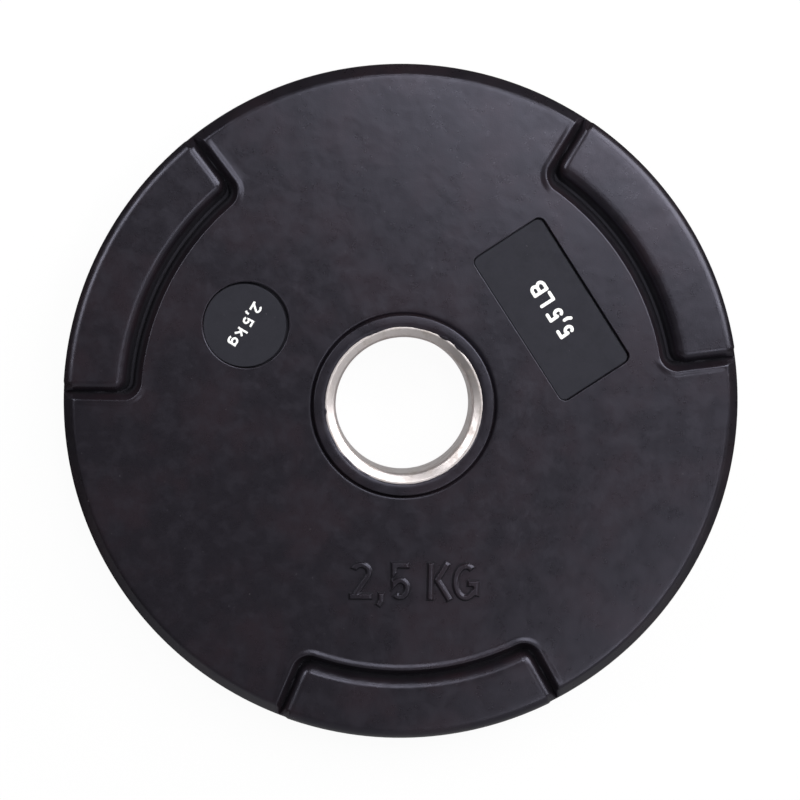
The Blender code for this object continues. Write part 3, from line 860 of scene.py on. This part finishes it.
def writing_mesh(
    name, characters, tall, level, rise, wall, stretch, pitch, gap, round_ends=False, slant=0.0, kerns=()
):
    """Characters as a height field over a grid, kept only where it rises out of the level under it.

    The height goes up straight to the whole rise over the width of the wall. With a slant given, sides
    that face the upper right go up steeply to 0.7 rise and then on a shoulder as wide as the slant.
    Outside the strokes the field dips below the level, so that their edge is a clean line. The stretch
    widens the characters, the pitch is the grid's, and the gap and any kerns for pairs of characters are
    shares of the capital height.
    """
    strokes, half = written_strokes(characters, tall, stretch, gap, dict(kerns))
    x = np.arange(-half - 0.1 * tall, half + 0.1 * tall, pitch)
    y = np.arange(-tall / 2 - 0.35 * tall, tall / 2 + 0.08 * tall, pitch)
    grid_x, grid_y = np.meshgrid(x, y)
    places = np.column_stack([grid_x.ravel(), grid_y.ravel()])
    depth = np.max([stroke_depth(places, path, STROKE * tall, round_ends) for path in strokes], axis=0)
    height = np.interp(depth, (-wall, 0.0, 0.7 * wall, wall), (-2.0, 0.0, 0.6, 1.0))
    if slant:
        across, along = np.gradient(depth.reshape(grid_x.shape))[::-1]
        slope = np.hypot(across, along) + 1e-12
        facing = -(across * math.cos(LIT_SIDE) + along * math.sin(LIT_SIDE)) / slope
        lit = np.clip((facing.ravel() - 0.6) / 0.3, 0.0, 1.0)
        shoulder = np.interp(depth, (-wall, 0.0, 0.3 * wall, 0.3 * wall + slant), (-2.0, 0.0, 0.7, 1.0))
        height += (shoulder - height) * lit
    height *= rise
    vertices = np.column_stack([places, level + height])
    quads = grid_quads(np.arange(grid_x.size).reshape(grid_x.shape))
    used, packed = np.unique(quads[(height[quads] > 0.0).any(axis=1)], return_inverse=True)
    return smooth_mesh(name, vertices[used], packed.reshape(-1, 4))


# Operators


class PlateOperator:
    """What the plate's operators share."""

    bl_options = {"REGISTER", "UNDO"}


class PLATE_OT_casing(PlateOperator, bpy.types.Operator):
    """Build the moulded casing with its hub rings, grip pads, grooves and badge seats"""

    bl_idname = "plate.casing"
    bl_label = "Casing"

    def execute(self, context):
        sizes = context.scene.plate_casing
        urethane = urethane_material("cast_urethane", sizes.shade, sizes.bloom)
        casing = casing_mesh(sizes)
        for name, (outline, normals), place, lip, _, _ in seats(context.scene.plate_marks):
            cutter, border = seat_meshes(name, outline, normals, HUB_LEVEL - sizes.hub_rise, lip)
            for mesh in (cutter, border):
                mesh.transform(place)
            casing = without(casing, cutter)
            add_piece(f"{name}_edge", border, urethane)
        casing.set_sharp_from_angle(angle=math.radians(60.0))
        add_piece("moulded_casing", casing, urethane, ["urethane_casing"])
        add_piece("bore_flash", flash_mesh(), urethane)
        return {"FINISHED"}


class PLATE_OT_bushing(PlateOperator, bpy.types.Operator):
    """Build the turned steel bushing with its lead-in at both ends"""

    bl_idname = "plate.bushing"
    bl_label = "Bushing"

    def execute(self, context):
        sizes = context.scene.plate_bushing
        upper = [
            (sizes.bore_radius, BUSHING_LEVEL - sizes.lead_in_depth),
            (sizes.bore_radius + 0.65 * MM, BUSHING_LEVEL - 0.6 * sizes.lead_in_depth),
            (sizes.bore_radius + sizes.lead_in_width, BUSHING_LEVEL),
            (BUSHING_RADIUS, BUSHING_LEVEL),
        ]
        corners = upper + [(radius, -level) for radius, level in reversed(upper)]
        roundings = [sizes.edge, 1.4 * sizes.edge, sizes.edge, sizes.edge]
        profile = rounded_profile(corners, roundings + roundings[::-1], 6)
        angles = np.linspace(0.0, 2 * np.pi, 256, endpoint=False)
        mesh = grid_mesh("turned_bushing", turned_grid(profile[:, :1], profile[:, 1:], angles))
        steel = turned_steel_material(sizes.shade)
        add_piece("turned_bushing", mesh, steel, ["steel_bushing"])
        return {"FINISHED"}


class PLATE_OT_core(PlateOperator, bpy.types.Operator):
    """Give the cast iron core of the CAD model its finish"""

    bl_idname = "plate.core"
    bl_label = "Core"

    def execute(self, context):
        iron = cast_iron_material()
        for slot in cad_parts["iron_core"].material_slots:
            slot.link = "OBJECT"
            slot.material = iron
        return {"FINISHED"}


class PLATE_OT_badges(PlateOperator, bpy.types.Operator):
    """Build the two sunk badges and their print"""

    bl_idname = "plate.badges"
    bl_label = "Badges"

    def execute(self, context):
        casing, marks = context.scene.plate_casing, context.scene.plate_marks
        badge = urethane_material("badge_urethane", marks.shade, linear("101012"), 0.68)
        level = HUB_LEVEL - casing.hub_rise - marks.sink
        half = marks.label_width / 2 - 0.4 * MM
        nicks = {"label_seat": [((0.0, side), 0.7 * MM, 0.35 * MM) for side in (half, -half)]}
        for name, (outline, normals), place, _, gap, shift in seats(marks):
            piece = name.replace("seat", "face")
            face = badge_mesh(piece, outline, normals, level, gap, nicks.get(name, ()))
            face.transform(Matrix.Translation(shift) @ place)
            add_piece(piece, face, badge, [name.replace("seat", "badge")])
        label = writing_mesh(
            "pound_print", "5,5 LB", marks.label_print_height, level,
            rise=0.06 * MM, wall=0.14 * MM, stretch=1.05, pitch=0.1 * MM, gap=0.16, round_ends=True,
        )
        label.transform(mark_place(LABEL_AZIMUTH, marks))
        disc = writing_mesh(
            "kilogram_print", "2,5 kg", marks.disc_print_height, level,
            rise=0.06 * MM, wall=0.12 * MM, stretch=1.45, pitch=0.08 * MM, gap=0.12,
        )
        disc.transform(mark_place(ROUND_AZIMUTH, marks, marks.twist))
        ink = pad_print_material(marks.ink)
        for piece, mesh in (("pound_print", label), ("kilogram_print", disc)):
            nodes = [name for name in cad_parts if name.startswith(piece)]
            add_piece(piece, mesh, ink, nodes)
        return {"FINISHED"}


class PLATE_OT_numbers(PlateOperator, bpy.types.Operator):
    """Build the raised numbers under the bore"""

    bl_idname = "plate.numbers"
    bl_label = "Raised numbers"

    def execute(self, context):
        casing, marks = context.scene.plate_casing, context.scene.plate_marks
        mesh = writing_mesh(
            "raised_numbers", "2,5 KG", marks.number_height, HUB_LEVEL - casing.hub_rise,
            rise=marks.number_rise, wall=0.8 * MM, stretch=1.075, pitch=0.12 * MM, gap=0.08,
            slant=1.0 * MM, kerns={"2,": 0.0, "KG": -0.09},
        )
        mesh.transform(Matrix.Translation((0.6 * MM, -0.3 * MM, 0.0)))
        mesh.transform(mark_place(NUMBER_AZIMUTH, marks, marks.twist))
        # the feet of the characters get painted shade up to this height
        foot = 0.6 * marks.number_rise
        urethane = urethane_material("cast_urethane_characters", casing.shade, casing.bloom, foot=foot)
        add_piece("raised_numbers", mesh, urethane)
        return {"FINISHED"}


class PLATE_OT_studio(PlateOperator, bpy.types.Operator):
    """Set up the floor, the lamps, the world and the camera"""

    bl_idname = "plate.studio"
    bl_label = "Studio"

    def execute(self, context):
        studio = context.scene.plate_studio
        add_floor(studio)
        add_world(studio)
        for name, (azimuth, from_above, size) in LAMPS.items():
            add_lamp(f"{name}_lamp", azimuth, from_above, size, getattr(studio, f"{name}_power"))
        add_camera(studio)
        context.scene.view_settings.view_transform = "Standard"
        return {"FINISHED"}


# Studio


def seen_white(add, gloss_share):
    """Share of white that a ray sees: all of it for the eye and through glass, a given share for gloss."""
    rays = add("LightPath").outputs
    gloss = add("Math", (rays["Is Glossy Ray"], gloss_share), operation="MULTIPLY")
    eye = add("Math", (rays["Is Camera Ray"], rays["Is Transmission Ray"]), operation="MAXIMUM")
    return add("Math", (eye, gloss), operation="MAXIMUM")


def add_floor(studio):
    """Wide floor under the plate that keeps its shadow.

    It is white to the eye and through glass. Gloss sees 0.4 of that inside the bore and half of it well
    beyond the near side of the plate, and a dark floor elsewhere.
    """
    material, add, place = new_material("white_studio_sweep")
    distance = add("VectorMath", (place,), operation="LENGTH")
    near_side = add("SeparateXYZ", (place,)).outputs["Y"]
    beyond = add("MapRange", (near_side, -0.05, -0.2, 0.0, 0.5), **EASED)
    in_bore = add("MapRange", (distance, BUSHING_RADIUS, BUSHING_RADIUS + 5 * MM, 0.4, 0.0), **EASED)
    gloss_share = add("Math", (beyond, in_bore), operation="MAXIMUM")
    gloss = add("LightPath").outputs["Is Glossy Ray"]
    matt = add("BsdfDiffuse", {"Color": coated(add, studio.floor, (gloss, UNLIT_FLOOR))})
    white = add("Emission", {"Color": WHITE, "Strength": 1.0})
    share = add("Math", (seen_white(add, gloss_share), 0.95), operation="MULTIPLY")
    mix = add("MixShader", (share, matt, white))
    add("OutputMaterial", {"Surface": mix})
    corners = FLOOR_HALF * np.array([(-1.0, -1.0, 0.0), (1.0, -1.0, 0.0), (1.0, 1.0, 0.0), (-1.0, 1.0, 0.0)])
    mesh = smooth_mesh("floor", corners - (0.0, 0.0, 0.1 * MM), [(0, 1, 2, 3)])
    mesh.materials.append(material)
    floor = placed("floor", mesh)


def add_world(studio):
    """White room, dim overhead and dark at the horizon, with light from one side as from a wide window."""
    world = bpy.data.worlds.new("studio")
    bpy.context.scene.world = world
    world.use_nodes = True
    world.node_tree.nodes.clear()
    add = partial(add_node, world.node_tree)
    direction = add("TexCoord").outputs["Generated"]
    up = add("SeparateXYZ", (direction,)).outputs["Z"]
    overhead = add("MapRange", (up, 0.2, 0.9, 0.012, 0.085), **EASED)
    to_window = add("VectorMath", (direction, (0.3, -0.95, 0.0)), operation="DOT_PRODUCT")
    window = add("MapRange", (to_window, 0.3, 0.7, 0.0, 0.27), **EASED)
    room = add("Math", (overhead, window), operation="MAXIMUM")
    filled = add("Math", (room, studio.fill), operation="MULTIPLY")
    even, white = (add("Background", {"Color": WHITE, "Strength": strength}) for strength in (filled, 1.0))
    mix = add("MixShader", (seen_white(add, room), even, white))
    add("OutputWorld", {"Surface": mix})


def add_lamp(name, azimuth, from_above, size, power):
    """Soft rectangular lamp that faces the plate from a direction given in degrees."""
    light = bpy.data.lights.new(name, "AREA")
    light.shape = "RECTANGLE"
    light.size, light.size_y = size
    light.energy = power
    round_plate = Matrix.Rotation(math.radians(azimuth + 90), 4, "Z")
    turn = round_plate @ Matrix.Rotation(math.radians(from_above), 4, "X")
    placed(name, light).matrix_world = turn @ Matrix.Translation((0.0, 0.0, LAMP_DISTANCE))


def add_camera(studio):
    """Camera over the front face, moved a little towards the picture's upper left and turned."""
    right = Vector((math.cos(studio.roll), -math.sin(studio.roll), 0.0))
    up = Vector((math.sin(studio.roll), math.cos(studio.roll), 0.0))
    aside = right * math.cos(studio.heading) + up * math.sin(studio.heading)
    back = aside * math.sin(studio.tilt) + Vector((0.0, 0.0, math.cos(studio.tilt)))
    aim_right, aim_up = CAMERA_AIM_MM
    target = Vector((0.0, 0.0, PLATE_MIDDLE)) + right * aim_right * MM + up * aim_up * MM
    data = bpy.data.cameras.new("camera")
    data.sensor_width = 36.0
    data.lens = LENS_MM
    data.clip_start = 0.01
    data.clip_end = 20.0
    camera = placed("camera", data)
    across = (right - back * right.dot(back)).normalized()
    turn = Matrix((across, back.cross(across), back)).transposed().to_4x4()
    camera.matrix_world = Matrix.Translation(target + back * studio.distance) @ turn
    bpy.context.scene.camera = camera


class PLATE_PT_panel(bpy.types.Panel):
    """Lists the plate's operators in the sidebar."""

    bl_label = "Weight Plate"
    bl_space_type = "VIEW_3D"
    bl_region_type = "UI"
    bl_category = "Weight Plate"

    def draw(self, context):
        for operator in OPERATORS:
            self.layout.operator(operator.bl_idname)


OPERATORS = (
    PLATE_OT_casing,
    PLATE_OT_bushing,
    PLATE_OT_core,
    PLATE_OT_badges,
    PLATE_OT_numbers,
    PLATE_OT_studio,
)
SETTINGS = {
    "plate_casing": CasingSettings,
    "plate_bushing": BushingSettings,
    "plate_marks": MarkSettings,
    "plate_studio": StudioSettings,
}


def register():
    """Register the classes and hang the settings on the scene."""
    for name, group in SETTINGS.items():
        bpy.utils.register_class(group)
        setattr(bpy.types.Scene, name, PointerProperty(type=group))
    for operator in OPERATORS:
        bpy.utils.register_class(operator)
    bpy.utils.register_class(PLATE_PT_panel)


def unregister():
    """Undo what register did."""
    bpy.utils.unregister_class(PLATE_PT_panel)
    for operator in reversed(OPERATORS):
        bpy.utils.unregister_class(operator)
    for name, group in reversed(SETTINGS.items()):
        delattr(bpy.types.Scene, name)
        bpy.utils.unregister_class(group)


def main():
    """Build everything in order."""
    register()
    bpy.ops.plate.casing()
    bpy.ops.plate.bushing()
    bpy.ops.plate.core()
    bpy.ops.plate.badges()
    bpy.ops.plate.numbers()
    bpy.ops.plate.studio()


if __name__ == "__main__":
    main()
